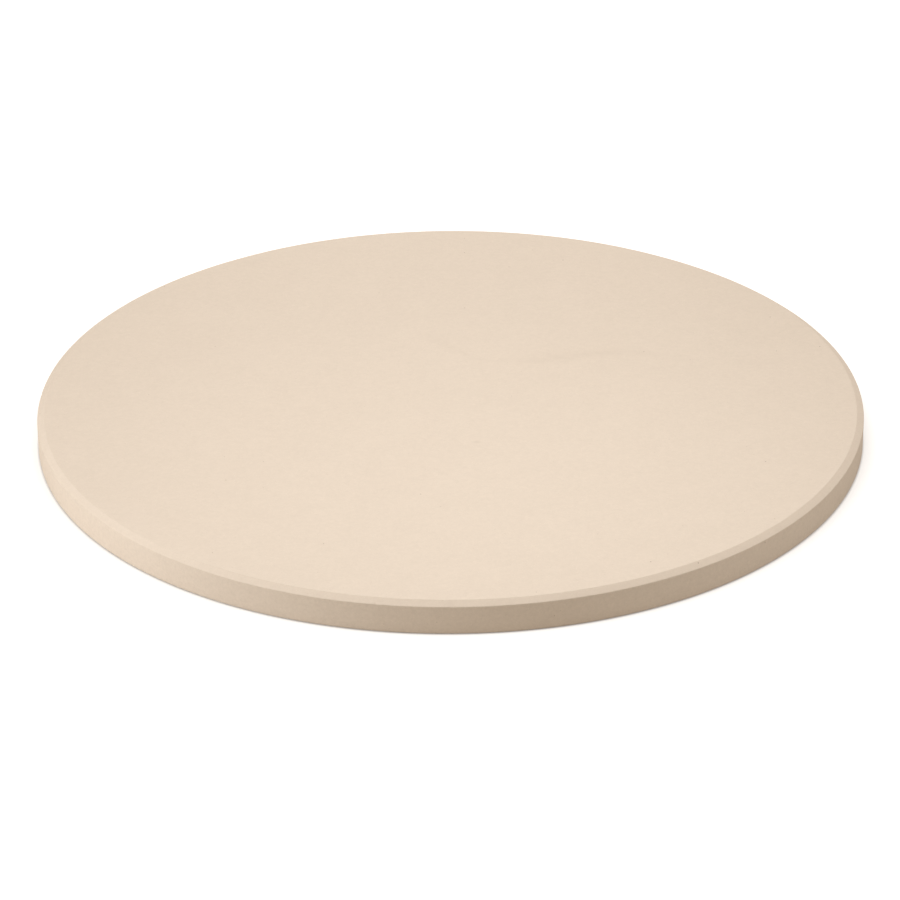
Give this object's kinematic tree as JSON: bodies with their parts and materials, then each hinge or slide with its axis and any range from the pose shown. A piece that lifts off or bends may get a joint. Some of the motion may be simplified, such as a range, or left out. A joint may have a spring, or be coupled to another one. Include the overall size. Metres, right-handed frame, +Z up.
{
  "type": "pizza stone",
  "caption": "Round flat baking slab of matt porous fired ceramic, with a plain wall and a narrow shallow bevel round the edge of its baking face.",
  "frame": {"origin": "centre of the underside, on the surface that the stone lies on", "axes": "+Z up along the slab's axis, from the underside to the baking face; X and Y are any two directions across it, since it is round"},
  "size_m": [0.38, 0.38, 0.015],
  "materials": {
    "cordierite": "matte"
  },
  "bodies": {
    "root": {"baking_stone": "cordierite"}
  },
  "joints": []
}
